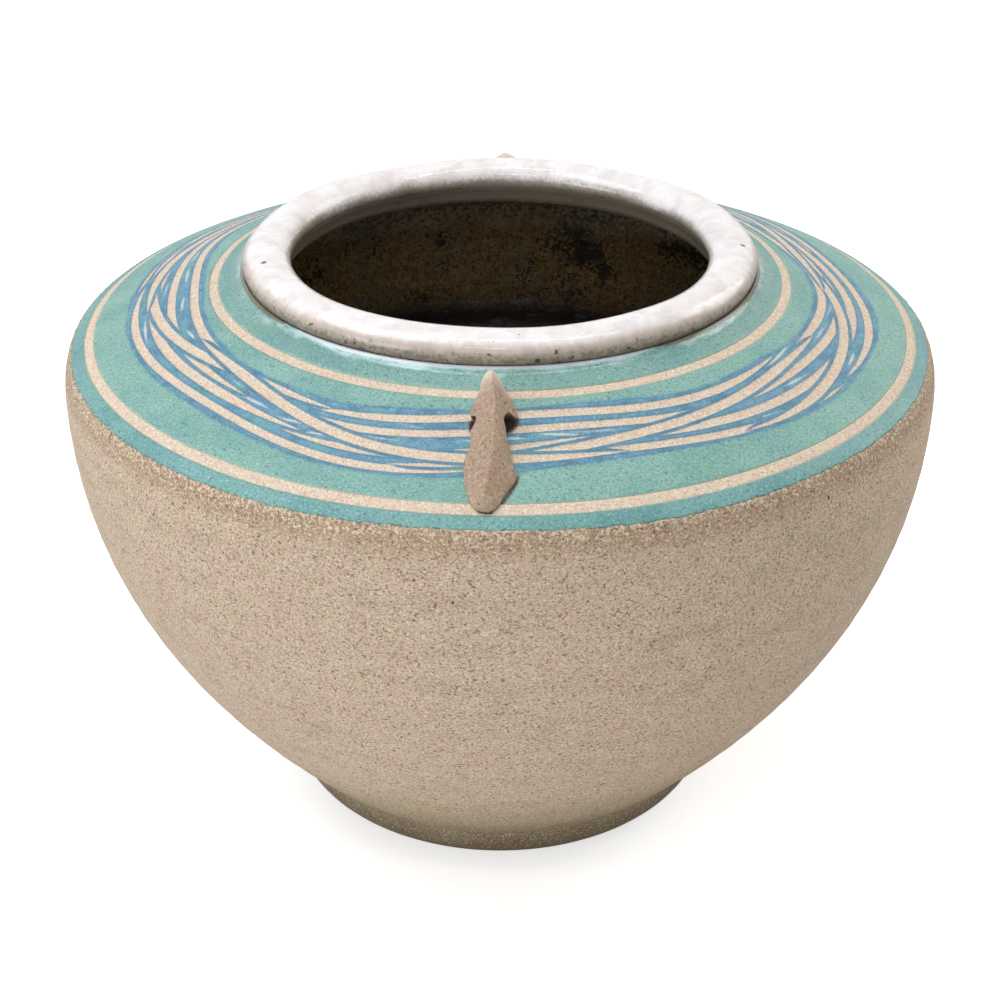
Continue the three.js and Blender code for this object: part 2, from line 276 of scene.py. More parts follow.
def add(tree, kind, feeds=None, out=0, **settings):
    """Adds one shader node, with its settings, and its inputs set or linked. It gives one of the
    node's outputs, or nothing where out is None."""
    node = tree.nodes.new("ShaderNode" + kind)
    for name, value in settings.items():
        setattr(node, name, value)
    for socket, value in (feeds or {}).items():
        if isinstance(value, bpy.types.NodeSocket):
            tree.links.new(value, node.inputs[socket])
        else:
            node.inputs[socket].default_value = value
    return None if out is None else node.outputs[out]


# %% The start and the end of a material
def emptied(owner):
    """The node tree of a material or a world, with nothing in it"""
    owner.use_nodes = True
    owner.node_tree.nodes.clear()
    return owner.node_tree


def start(name, *marks):
    """A new material, its node tree, the place on the pot in millimetres, and the value of each
    mark that its meshes carry on their points"""
    material = bpy.data.materials.new(name)
    tree = emptied(material)
    here = add(tree, "TexCoord", out="Object")
    place = add(tree, "VectorMath", {0: here, 1: (1 / MM,) * 3}, operation="MULTIPLY")
    return material, tree, place, *(
        add(tree, "Attribute", out="Fac", attribute_name=mark) for mark in marks)


def end(tree, base, roughness, height, depth_mm):
    """The shader of one finish: base colour, roughness, and a bump of a depth in millimetres. Fired
    clay and glaze are both largely glass, so their IOR is 1.5."""
    normal = add(tree, "Bump", {"Strength": 1.0, "Distance": depth_mm * MM, "Height": height})
    surface = add(tree, "BsdfPrincipled", {
        "Base Color": base, "Roughness": roughness, "Normal": normal, "IOR": 1.5})
    add(tree, "OutputMaterial", {"Surface": surface}, out=None)


# %% Patterns, each at its real size
def mottle(place, size, detail=3, shift=0, flat=1):
    """Cloudy noise from 0 to 1, whose blots are about size mm wide, and flat times less high"""
    moved = add(place.id_data, "Mapping", {
        0: place, 1: (shift, shift, shift), 3: (1 / size, 1 / size, flat / size)})
    return add(place.id_data, "TexNoise", {"Vector": moved, "Scale": 1.0, "Detail": detail})


def frayed(place, value, share, *noise):
    """A value plus a share of mottle's noise, so that the edges drawn by it are ragged"""
    return add(place.id_data, "Math", {0: mottle(place, *noise), 1: share, 2: value},
               operation="MULTIPLY_ADD")


def spots(place, spacing, size, share):
    """Round spots: 1 inside. Cells are spacing mm wide, and a share of them has a spot of size mm.
    Each cell's own random colour says whether it has one."""
    tree = place.id_data
    cells = add(tree, "Mapping", {0: place, 3: (1 / spacing,) * 3})
    colour_of_cell = add(tree, "TexVoronoi", {"Vector": cells, "Scale": 1.0}, out=1)
    distance = add(tree, "TexVoronoi", {"Vector": cells, "Scale": 1.0})
    chance = add(tree, "SeparateColor", {0: colour_of_cell})
    kept = add(tree, "Math", {0: chance, 1: share}, operation="LESS_THAN")
    reach = size / spacing / 2
    disc = add(tree, "MapRange", {0: distance, 1: reach * 1.2, 2: reach * 0.6})
    return add(tree, "Math", {0: kept, 1: disc}, operation="MULTIPLY")


# %% Coats of colour
def coated(place, base, coats):
    """Lays coats over a base. Each colour is a hex value or an earlier mix. A coat has its colour,
    where its pattern starts to show it and shows it in full, the most it covers, and then its
    pattern: a value, or the size and the rest of a mottle. Where it is full at less than it
    starts, it lies where the pattern is low. Between the two its share is a smooth S."""
    for over, first, full, most, *pattern in coats:
        if not isinstance(pattern[0], bpy.types.NodeSocket):
            pattern = [mottle(place, *pattern)]
        base, over = (colour(tone) if isinstance(tone, str) else tone for tone in (base, over))
        share = add(place.id_data, "MapRange", {0: pattern[0], 1: first, 2: full, 4: most},
                    interpolation_type="SMOOTHSTEP")
        base = add(place.id_data, "Mix", {0: share, 6: base, 7: over}, out=2, data_type="RGBA")
    return base


# %% [markdown]
# ## Bare stoneware
#
# The clay is a coarse sandy stoneware, fired bare. Grog makes it gritty, iron in the clay makes
# dark specks, and the flame leaves pinkish and olive patches a few millimetres wide. The wheel
# drags the grit sideways, so the grain is stretched along the horizontal. Unglazed fired clay is
# matt: roughness 0.9, IOR 1.5. Towards the foot the colour turns olive and then brown: that is
# painted shade, where the wall turns under towards the floor.

# %% Fresh cuts and grit
def clay_relief(place):
    """Grit of about 0.5 mm over soft hollows of 4 mm"""
    return frayed(place, mottle(place, 0.5, 1, 15), 0.6, 4.0, 2, 60)


def cream_colour(place):
    """Clay laid bare by the tool: cream with fine pinkish and darker grains"""
    return coated(place, "#e2d0b8", [
        ("#ddc0ad", 0.45, 0.68, 1.0, 1.3, 3, 30),
        ("#b3947a", 0.44, 0.26, 0.6, 0.5, 1),
        ("#fff6ea", 0.52, 0.74, 0.7, 0.5, 1)])


# %% Fired stoneware, matt because the grog breaks its skin
stoneware, tree, place, below_slip_band, carved = start("bare_stoneware", "under_slip", "carved")
height = frayed(place, add(tree, "SeparateXYZ", {0: place}, out=2), 8.0, 9.0, 3, 8)
base = coated(place, "#c7b29a", [
    # Patches of pink, of olive, and long ones along the throwing lines
    ("#c5a896", 0.43, 0.72, 0.65, 8.0),
    ("#b3a68b", 0.5, 0.7, 0.6, 6.0, 3, 40),
    ("#a8937b", 0.46, 0.7, 0.25, 30.0, 4, 19, 7),
    # Painted shade towards the foot in olive and brown; a darker, warmer band with pale crumbs under the slip
    ("#a99b78", 46.0, 28.0, 0.8, height),
    ("#5e4e38", 32.0, 8.0, 0.8, height),
    ("#98795a", 0.0, 0.75, 0.55, below_slip_band),
    ("#e6d5b8", 2.25, 2.75, 0.75, frayed(place, below_slip_band, 3.125, 0.8, 2, 71)),
    # Dark and light grain, drawn at 0.55 mm, a little coarser than real, so that it shows
    ("#6f5c4a", 0.5, 0.28, 0.66, 0.55, 2, 0, 1.25),
    ("#f6ecdd", 0.52, 0.76, 0.55, 0.55, 2, 0, 1.25),
    # Brown specks, iron spots, more painted shade at the foot, and last the floors of the carved rings
    ("#66533f", 0.6, 0.68, 0.8, 0.8, 2, 90, 1.25),
    ("#463a30", 0.0, 1.0, 0.75, spots(place, 2.4, 0.5, 0.5)),
    ("#241c17", 0.0, 1.0, 1.0, spots(place, 9.0, 0.8, 0.35)),
    ("#5a4834", 19.0, 4.0, 0.6, height),
    (cream_colour(place), 0.2, 0.8, 1.0, carved)])
end(tree, base, 0.9, clay_relief(place), 0.11)
print("bare stoneware is ready")
# %% [markdown]
# ## The thrown wall
#
# The wall was thrown in one piece, its foot trimmed on the wheel. Rows are close together where
# something happens: at the foot ring, at the edge of the slip and at the two carved rings. The
# finger leaves a faint spiral on the belly. Under the slip the clay lies a coat's thickness
# lower. Each ring was cut just through the slip, so its floor lies a little below the slip's skin.

# %% Places on the shoulder
SLIP = 0.4
INNER_RING = SHOULDER_LENGTH - 8.5
SLIP_END = -5.6
RING_DEPTH = 0.2
WALL = 6.5
FLOOR_HEIGHT = 11.0
FLOOR_RADIUS = 41.0
BORE_RADIUS = JUNCTION[0] - 9.9
FINGER_STEP = 6.5


def ring_rows(ring):
    """Distances close together across one carved ring"""
    half = np.array([0.4, 0.75, 0.9, 1.05, 1.2, 1.35, 1.5, 1.65, 1.9])
    return ring + np.concatenate([-half[::-1], [0], half])


def ring_half(ring, angle):
    """Half the width of a carved ring. The outer one is widest in front: a mean plus a cosine"""
    return 1.15 + 0.25 * np.cos(angle) if ring == 0.0 else 1.12 + 0.0 * angle


def ring_wander(angle):
    """How far the carved rings stray up the slope"""
    return 0.10 * waves(angle, 2, 9, 5, 13)


def slip_wander(angle):
    """How far the slip's lower edge strays up the slope: slow waves, and the brush's fine ones"""
    return 0.16 * waves(angle, 3, 12, 5, 11) + 0.12 * waves(angle, 40, 170, 14, 12)


def throwing(distance, angle):
    """Depth of the finger's spiral, 0 to about 0.2 mm: a wave of 6.5 mm that climbs as it turns"""
    turn = distance / FINGER_STEP + angle / TURN
    fade = ease(distance, FOOT_START + 20, FOOT_START + 50) * ease(-distance, 14, 30)
    strength = 0.06 + 0.03 * waves(angle + distance / 60, 1, 4, 4, 3)
    return fade * strength * (1 + np.cos(TURN * turn)) + 0.02


# %% Rows of the wall, from the underside up and down again inside
def hollow(depth):
    """The inside at a depth below the outside, from the floor up to the neck's land"""
    walls = outline(depth)
    floor_edge = np.array([FLOOR_RADIUS, FLOOR_HEIGHT + depth - WALL])
    low = walls[0][0]
    arm = 0.4 * np.linalg.norm(low - floor_edge)
    fillet = cubic(floor_edge, floor_edge + arm * way(0), low - arm * WAIST_WAY, low)
    bore = np.array([BORE_RADIUS + WALL - depth, LAND_HEIGHT])
    neck = curve(walls[2][-1], JUNCTION_WAY, 0.5, bore, UP, 0.5)
    return np.concatenate([fillet, walls[0][1:], walls[1][1:], walls[2][1:], neck[1:]])


def resample(line, count):
    """The line at evenly spaced distances along it"""
    run = run_along(line)
    at = np.linspace(0, run[-1], count)
    return np.stack([np.interp(at, run, line[:, k]) for k in (0, 1)], -1)


COLUMNS = 540
angle = around(COLUMNS)
under = np.array([[6, 3], [18, 3], [30, 3], [34.3, 3], [34.9, 2.8], [35.3, 2.3], [36.3, 0.25],
                  [36.7, 0.04], [37.3, 0], [40, 0], [42.3, 0]])
free_rows = np.concatenate([
    np.linspace(FOOT_START + 0.4, FOOT_START + 30, 22), np.linspace(FOOT_START + 32, -8, 48),
    [-7.2, -6.7, -6.4, -6.15, -5.9, -5.65, -5.4, -5.15, -4.7, -3.4, -2.3], ring_rows(0.0),
    np.linspace(2.6, INNER_RING - 2.6, 12), ring_rows(INNER_RING),
    [INNER_RING + 2.6, INNER_RING + 5, SHOULDER_LENGTH - 1, SHOULDER_LENGTH]])
under_rim = np.array([[61.5, JUNCTION_HEIGHT - 0.55], [57, LAND_HEIGHT - 0.3]])
inside = resample(hollow(WALL + 0.1), 34)[::-1]

# %% Depth and marks of each point of the wall
distance = free_rows[:, None] + 0.0 * angle
from_slip = distance - slip_wander(angle) - SLIP_END
covered = ease(from_slip, 0.15, 0.45)
cut = np.zeros_like(distance)
for ring in (0.0, INNER_RING):
    off_edge = np.abs(distance - ring - ring_wander(angle)) - ring_half(ring, angle)
    cut = np.maximum(cut, 1 - ease(off_edge, -0.1, 0.2))
ridge = 0.14 * bump(from_slip, -0.35, 0.5) * (1 + 0.5 * waves(angle, 90, 260, 20, 14))
CLAY_DEPTH = SLIP + 0.03
depth = throwing(distance, angle) * (1 - covered) + CLAY_DEPTH * covered
radius, height = outside(distance, depth + (RING_DEPTH - CLAY_DEPTH) * cut - ridge)


def level(line):
    """The same line at every column, as rows of radii and rows of heights"""
    return [np.repeat(line[:, k, None], COLUMNS, 1) for k in (0, 1)]


plain_rows = ((len(under), len(under_rim) + len(inside)), (0, 0))
wall_marks = {"carved": np.pad(cut, plain_rows),
              "under_slip": np.pad(0.8 * ease(from_slip, -9.0, -0.2), plain_rows)}
turned("thrown_wall",
       *stacked(level(under), [radius, np.maximum(height, 0)], level(under_rim), level(inside)),
       wall_marks, ring=False, material=stoneware, slot="stoneware", stands_for="thrown_body")

# %% [markdown]
# ## The turquoise slip
#
# Slip is liquid clay with a colourant, brushed on the leather-hard pot. It is a real layer, 0.4 mm
# thick, so each band is a thin closed ring with its own edges. Copper and cobalt give turquoise,
# slightly greener in some places and bluer in others, with fine dark specks from the clay below.
# It fires to a satin skin, and beside the rim it took a film of glaze and shines. The pale streaks
# there are partly milky glaze and partly a painted sheen, and the pale band in front is a painted
# highlight.

# %% What every slip has
def slip_colour(place, edge, light, deep, green):
    """Turquoise in soft patches, with a fine grain, dark specks and rare iron spots. Along an edge
    the slip is thin, and the clay shows through it."""
    return coated(place, light, [
        (deep, 0.4, 0.62, 1.0, 14.0, 4),
        (green, 0.54, 0.74, 0.6, 9.0, 3, 25),
        ("#52807c", 0.52, 0.3, 0.6, 0.5, 2),
        ("#c4e2da", 0.54, 0.76, 0.45, 0.5, 2),
        ("#3f6460", 0.62, 0.7, 0.7, 0.8, 2, 70),
        ("#26302b", 0.0, 1.0, 1.0, spots(place, 7.0, 0.7, 0.3)),
        ("#bfbfa6", 0.6, 1.2, 0.7, frayed(place, edge, 0.8, 0.9, 2, 95))])


def slip_relief(place):
    """A fine satin grain of 0.6 mm over brushed unevenness of 3 mm"""
    return frayed(place, mottle(place, 3.0, 2, 35), 0.7, 0.6, 1, 5)


# %% Turquoise slip with a film of glaze towards the rim, which makes it glossy there
turquoise_slip, tree, place, edge, shine, bead, seam = start(
    "turquoise_slip_glossy_by_rim", "edge", "glazed", "bead", "seam")
base = coated(place, slip_colour(place, edge, "#81ada4", "#71a19d", "#80a890"), [
    # Milky glaze streaks round the pot, partly painted sheen, a painted highlight in front, the brown seam
    # elsewhere
    ("#b9dadb", 2.4, 3.2667, 0.7, frayed(place, shine, 3.3333, 6.0, 3, 12, 5)),
    ("#d9e2ea", 0.7, 1.3, 0.85, frayed(place, bead, 0.8, 2.5, 3, 83, 3)),
    ("#6d604a", 0.75, 1.1, 0.85, frayed(place, seam, 0.9, 1.4, 3, 62))])
gloss = add(tree, "MapRange", {0: shine, 3: 0.5, 4: 0.12})
calm = add(tree, "MapRange", {0: shine, 3: 1.0, 4: 0.3})
relief = add(tree, "Math", {0: slip_relief(place), 1: calm}, operation="MULTIPLY")
end(tree, base, gloss, relief, 0.07)

# %% The same slip brushed twice over the edge, satin because no glaze reached it
teal_slip, tree, place, edge, along_low_edge = start("teal_slip_satin", "edge", "low_edge")
base = coated(place, slip_colour(place, edge, "#76a8a6", "#669b9c", "#71a693"), [
    # Darker along the band's lower edge
    ("#3c5f5c", 1.6, 2.1111, 0.8, frayed(place, along_low_edge, 2.2222, 1.2, 3, 52))])
end(tree, base, 0.5, slip_relief(place), 0.08)
print("turquoise and teal slips are ready")


# %% A band of slip: a thin ring with rounded, wandering edges
def edge_wander(angle, seed):
    """How far a cut edge strays: with its ring, and a little by itself"""
    return ring_wander(angle) + 0.05 * waves(angle, 60, 220, 16, seed)


def across(low, high, rows):
    """Distances of evenly spaced rows between each column's two edges"""
    return low + np.linspace(0, 1, rows)[:, None] * (high - low)


def slip_band(name, distance, relief, marks, **finish):
    """The outer face goes up the slope by its rows, and the inner face, a coat's thickness down,
    comes back. Relief is how deep the outer face lies, and near an edge it rounds off."""
    to_edge = np.minimum(distance - distance[0], distance[-1] - distance)
    rounding = 0.3 * (1 - ease(to_edge, 0.0, 0.5))
    back = across(distance[-1], distance[0], 4)
    section = stacked(outside(distance, rounding + relief), outside(back, SLIP + 0.02))
    marks = {"edge": 1 - ease(to_edge, 0.0, 0.55), **marks}
    marks = {mark: np.concatenate([value, 0 * back]) for mark, value in marks.items()}
    turned(name, *section, marks, ring=True, **finish)


# %% The band outside the rings, which gathers in a soft roll at its lower edge
turn = around(1440)
low = SLIP_END + slip_wander(turn)
outer = across(low, edge_wander(turn, 21) - ring_half(0.0, turn), 18)
slip_band("slip_outside_ring", outer, -0.10 * bump(outer, SLIP_END + 0.2, 0.45),
          {"low_edge": bump(outer, low, 0.6)},
          material=teal_slip, slot="teal_slip", stands_for="slip_band_outer")

# %% The band beside the rim, where the glaze ran down in a bead, with a painted highlight in front
turn = around(1200)
in_front = ease(np.cos(turn + 0.12), 0.6, 0.88)
inner = across(INNER_RING + ring_half(INNER_RING, turn) + edge_wander(turn, 22),
               SHOULDER_LENGTH + 0.3 + 0 * turn, 22)
to_rim = SHOULDER_LENGTH - inner
slip_band("slip_beside_rim", inner, -0.42 * ease(-to_rim, -2.6, 0),
          {"glazed": ease(-to_rim, -5.5, -1.5),
           # A painted highlight in front, just below the rim
           "bead": in_front * ease(-to_rim, -2.2, -0.3),
           "seam": (1 - in_front) * ease(-to_rim, -1.9, -0.4)},
          material=turquoise_slip, slot="turquoise_slip", stands_for="slip_band_inner")
# %% [markdown]
# ## Sizes of the lugs
#
# The two lugs stand on the slip, so their outline is laid down before the slip is coloured: in the
# mouth of each hole and in the crack round the lower edge the ground is darkened by painted shade.
# Each station down the lug gives how wide and high the clay is, how far its foot and its crest were
# pushed to the right, and how sharp a keel the fingers left on it.

# %% Stations of the lug, and of the drill that pierces it
LUG_FROM_RIM = 5.6
LUG_LENGTH = SHOULDER_LENGTH - LUG_FROM_RIM + 1.4
LUG_WIDTH = 11.8
LUG_HEIGHT = 6.4
LUG_ROOT = 1.6
# Shares of the lug's sizes: along, width, height, push of the foot, push of the crest, sharpness
STATIONS = np.array([
    [0.0, 0.30, 0.55, 0.0, 0.01, 0.2], [0.05, 0.42, 0.99, 0.01, 0.01, 0.25],
    [0.14, 0.66, 0.98, 0.05, 0.04, 0.7], [0.21, 0.81, 0.94, 0.07, 0.08, 0.85],
    [0.28, 0.89, 0.9, 0.09, 0.09, 0.85], [0.305, 0.91, 0.88, 0.095, 0.095, 0.8],
    [0.35, 0.68, 0.85, -0.05, 0.1, 0.45], [0.43, 0.67, 0.8, -0.03, 0.1, 0.4],
    [0.5, 0.73, 0.77, -0.02, 0.1, 0.5], [0.585, 0.85, 0.75, -0.02, 0.09, 0.65],
    [0.67, 0.95, 0.73, 0.01, 0.065, 0.75], [0.725, 0.97, 0.7, 0.04, 0.05, 0.75],
    [0.79, 0.89, 0.63, 0.03, 0.01, 0.7], [0.85, 0.76, 0.56, 0.0, -0.02, 0.7],
    [0.915, 0.59, 0.46, -0.03, -0.05, 0.6], [0.96, 0.42, 0.36, -0.03, -0.05, 0.3],
    [0.99, 0.24, 0.24, -0.03, -0.05, 0]])
DOME = np.array([[0.88, 0], [1, 0.2], [0.96, 0.5], [0.76, 0.8], [0.4, 1.0], [0, 1.07]])
KEEL = np.array([[0.95, 0], [1, 0.12], [0.8, 0.31], [0.52, 0.56], [0.24, 0.84], [0, 1.1]])
# From side to side through the lug: sideways in mm, share along, half length and top in mm
DRILL = np.array([[-15, 0.333, 2.2, 2.2], [-3, 0.333, 2.2, 2.2], [0, 0.333, 2.4, 2.4], [2.5, 0.33, 3.2, 2.8],
                  [3.6, 0.33, 3.9, 3.4], [5, 0.33, 3.6, 2.3], [6.5, 0.325, 3.3, 0.9], [8.5, 0.325, 3.2, 0.3]])
DRILL_LOW = -3.0


def lug_shade_on_slip(angle, distance):
    """How much painted shade the slip takes round a lug, 0 to 1: an oval in each mouth of its hole,
    and a hair line along the right of its foot, where each hill is e to the minus square of the way off it"""
    side = ((angle + math.pi / 2) % math.pi - math.pi / 2) * outside(distance)[0]
    down = SHOULDER_LENGTH - LUG_FROM_RIM - distance
    right_mouth = np.hypot((side - 3.2 - 0.25 * (12.4 - down)) / 3.4, (down - 12.2) / 3.6)
    left_mouth = np.hypot((side + 3.7) / 1.0, (down - 12.6) / 2.6)
    foot = np.interp(down / LUG_LENGTH, STATIONS[:, 0], STATIONS[:, 1] / 2 + STATIONS[:, 3]) * LUG_WIDTH
    crack = 0.9 * bump(side, foot + 0.2, 0.45) * ease(down / LUG_LENGTH, 0.68, 0.76) * (down < LUG_LENGTH)
    return np.maximum(crack, 1 - ease(np.minimum(right_mouth, left_mouth), 0.45, 1.05))


# %% [markdown]
# ## The carved braid
#
# Between the rings the slip carries a band of blue, through which long strokes were cut down to
# the cream clay. They cross and part like loose strands. This layout is worked out here by a
# rule: long strands sweep from one side of the band to the other, shorter companions run beside
# them, and thin pale flecks lie in the gaps. A strand that lies on top cuts the ones below it
# short, which gives their pointed ends. Each point of the band stores how deep it lies inside a
# stroke and inside the blue, in millimetres, and the material turns those into sharp edges.

# %% Where each stroke runs
BRAID_MIDDLE = 18.9
LANES = 4
LANE_GAP = 4.5
SWEEPS = 7
STROKE_GAP = 1.0
LONG_POINT = 25.0
BAND_RADIUS = 86.0
band_angle = around(1000)
band_wander = edge_wander(band_angle, 31)
band_low = ring_half(0.0, band_angle) + band_wander
band_high = INNER_RING - ring_half(INNER_RING, band_angle) + band_wander
band_distance = across(band_low, band_high, 94)
rng = np.random.default_rng(5)
phase = rng.uniform(0, TURN, 2)
drift = BRAID_MIDDLE + 1.5 * np.cos(4 * band_angle + phase[0]) + 0.7 * np.cos(7 * band_angle + phase[1])
squeeze = 1 + 0.16 * np.cos(5 * band_angle + phase[1] + 2)


# %% A stroke, a lane of strokes, and a sweep across the lanes
def stroke(first, last, half, level):
    """Two depths in mm: inside the stroke, and inside the strip it keeps clear. Each is a half
    width, which tapers to both ends, less the distance from the middle line"""
    past_middle = (band_angle - (first + last) / 2 + math.pi) % TURN - math.pi
    run = np.clip(past_middle / (last - first) + 0.5, 0, 1)
    to_end = ((last - first) / 2 - np.abs(past_middle)) * BAND_RADIUS
    taper = np.clip(to_end / LONG_POINT, 0, 1) ** 0.7
    away = np.hypot(np.minimum(to_end, 0), band_distance - level(run))
    return half * taper - away, half * taper + STROKE_GAP * np.clip(3 * taper, 0, 1) - away


def lane(number):
    """Three strokes end to end along one lane. The lanes drift and close up together as they go
    round, a sum of two cosines, and each stroke tilts a little across its lane."""
    place = np.arange(4)
    ends = TURN * (place + rng.uniform() + 0.3 * np.sin(2.4 * place + number)) / 3
    ends[-1] = ends[0] + TURN
    middle = drift + (number - (LANES - 1) / 2) * LANE_GAP * squeeze
    tilts = rng.uniform(-2.6, 2.6, 3)
    halves = rng.uniform(1.0, 1.2, 3)
    past = rng.uniform(-6, 10, 3) / BAND_RADIUS
    return [stroke(ends[k], ends[k + 1] + past[k], halves[k],
                   lambda run, k=k: middle + tilts[k] * (run - 0.5)) for k in range(3)]


def sweep(number):
    """A strand that crosses from one side of the braid to the other on a smooth S, 95 to 135 mm long"""
    side = 1 if number % 2 else -1
    first = (number + rng.uniform(-0.2, 0.2)) * TURN / SWEEPS + 0.75
    last = first + rng.uniform(95, 135) / BAND_RADIUS
    start, end = side * rng.uniform(4.5, 7.4), -side * rng.uniform(2.5, 7.0)
    return stroke(first, last, rng.uniform(1.1, 1.28),
                  lambda run: drift + start + (end - start) * ease(run, 0.08, 0.92))


# %% Lay the strokes over each other: each later one keeps a strip clear round itself
layers = [piece for number in (0, 3, 1, 2) for piece in lane(number)]
layers += [sweep(number) for number in (*range(0, SWEEPS, 2), *range(1, SWEEPS, 2))]
strokes = np.full(band_distance.shape, -9.0)
for inside_stroke, clear in layers:
    strokes = np.maximum(np.minimum(strokes, -clear), inside_stroke)
print(f"{len(layers)} strokes, {100 * (strokes > 0).mean():.0f}% of the band is cut")


# %% The blue ground follows the outermost strokes
def hull(values, reach):
    """The largest value within reach columns to each side, then a running mean of twice as many"""
    largest = np.max([np.roll(values, k) for k in range(-reach, reach + 1)], axis=0)
    kernel = np.hanning(4 * reach + 3)[1:-1]
    wrapped = np.concatenate([largest[-2 * reach:], largest, largest[:2 * reach]])
    return np.convolve(wrapped, kernel / kernel.sum(), "valid")


GROUND_EDGE = 1.3
brushed = 0.5 * waves(band_angle, 3, 11, 7, 33)
in_stroke = strokes > 0
top_edge = hull(np.where(in_stroke, band_distance, 0).max(0), 10) + GROUND_EDGE
low_edge = -hull(-np.where(in_stroke, band_distance, 99).min(0), 10) - GROUND_EDGE
blue = np.minimum(top_edge + brushed - band_distance, band_distance - low_edge + np.roll(brushed, 90))

# %% Pale flecks in the gaps: an almond is a half width times one less the square of the run
FLECKS = 52
flecks = np.full(strokes.shape, -9.0)
for i in range(FLECKS):
    column = int((i + 0.5 + 0.3 * math.sin(3 * i)) * len(band_angle) / FLECKS)
    free = np.where(blue[:, column] > 1.2, -np.maximum(strokes, flecks)[:, column], 0)
    row = int(free.argmax())
    room = free[row] - STROKE_GAP
    if room < 0.0:
        continue
    half_length = 4.0 + 2.0 * (i % 3)
    off = ((band_angle - band_angle[column] + math.pi) % TURN - math.pi) * BAND_RADIUS
    almond = min(room + 0.2, 0.45) * np.clip(1 - (off / half_length) ** 2, -3, 1)
    fleck = almond - np.abs(band_distance - band_distance[row, column] - 0.12 * math.sin(5 * i) * off)
    flecks = np.maximum(flecks, np.minimum(fleck, -strokes - 0.5))

# %% [markdown]
# The strokes are real grooves: the tool took the slip away almost down to the clay. Their floor
# is rough cream clay, a thin darker edge along them is painted shade of the groove, and the blue
# pigment pooled darker along the outside of the braid. In the mouths of the lugs' holes and along
# the crack at a lug's foot the ground is darkened by painted shade.

# %% Blue slip, in which each depth is frayed by the grain of the clay
braided_slip, tree, place, edge, in_cut, in_blue, in_fleck, soot = start(
    "slip_with_carved_braid", "edge", "stroke", "blue", "fleck", "soot")
in_cut = frayed(place, in_cut, 0.3, 0.7, 2, 3)
in_fleck = frayed(place, in_fleck, 0.5, 0.7, 2, 3)
in_blue = frayed(place, in_blue, 0.8, 3.0, 3, 6)
blues = coated(place, "#588fa9", [
    ("#6e9bb2", 0.42, 0.6, 1.0, 5.0, 4, 8, 3),
    ("#63a4a6", 0.48, 0.66, 0.75, 8.0, 3, 55, 2),
    ("#41758f", 0.48, 0.62, 0.7, 5.0, 4, 66, 5),
    ("#94b5c3", 0.6, 0.72, 0.6, 2.0, 4, 88, 5),
    ("#3d6b87", 0.5, 0.3, 0.6, 0.5, 2),
    ("#b3d0dd", 0.54, 0.76, 0.4, 0.5, 2)])
# A thin darker edge along each stroke: painted shade of the groove
beside = coated(place, blues, [("#3c6f8c", -0.55, 0.05, 0.5, in_cut)])
print("blue slip is ready")

# %% From the outside in: turquoise, the blue with its dark outline, painted shade along each groove, the cream floor, then painted shade round the lugs
from_outline = add(tree, "Math", {0: in_blue, 1: 1.0}, operation="SUBTRACT")
from_outline = add(tree, "Math", {0: from_outline}, operation="ABSOLUTE")
base = coated(place, slip_colour(place, edge, "#88b5aa", "#78aaa2", "#87b398"), [
    (blues, -0.3, 1.0, 0.95, in_blue),
    ("#376a85", 1.3, 0.5, 0.85, frayed(place, from_outline, 1.2, 6.0, 3, 29)),
    (beside, 0.4, 1.2, 1.0, in_blue),
    ("#d9dad6", 0.15, 0.6, 0.9, in_fleck),
    (cream_colour(place), -0.03, 0.33, 1.0, in_cut),
    # Painted shade, brown and then near black, in the mouths of the lugs' holes and along their crack
    ("#6a5643", 0.0, 0.5, 0.9, soot),
    ("#2c1c0f", 0.4, 1.0, 0.96, soot)])
bare = add(tree, "Math", {0: soot, 1: 3.0, 2: in_cut}, operation="MULTIPLY_ADD")
matt = add(tree, "MapRange", {0: bare, 1: 0.05, 2: 0.25, 3: 0.5, 4: 0.9})
end(tree, base, matt, slip_relief(place), 0.08)

# %% The braided band itself
# Painted shade round the lugs, which also sinks the slip a little there
dark = lug_shade_on_slip(band_angle, band_distance)
groove = 0.22 * ease(strokes, -0.15, 0.3)
slip_band("slip_between_rings", band_distance, np.maximum(groove, 0.38 * dark),
          {"stroke": strokes, "blue": blue, "fleck": flecks, "soot": dark},
          material=braided_slip, slot="braided_slip", stands_for="slip_band_middle")
# %% [markdown]
# ## Rim and glazes
#
# The lip was folded out and rolled into a thick ring. It is glazed white: glassy on top, where
# the glaze is thick, and thinning over the lower outside until the grey-brown clay and its iron
# specks show through; that greying is also painted shade on the face that turns down. Inside, the
# white runs down a little way and gives out over a dark brown glaze. Glaze is glass, so IOR 1.5
# and a roughness of about 0.1, with a faint orange-peel skin.

# %% White glaze, glossy as glass
def running_height(place):
    """Height in mm plus 0 to 6 mm, by a noise of 14 mm, as glaze that ran unevenly"""
    height = add(place.id_data, "SeparateXYZ", {0: place}, out=2)
    return frayed(place, height, 6.0, 14.0, 3, 3)


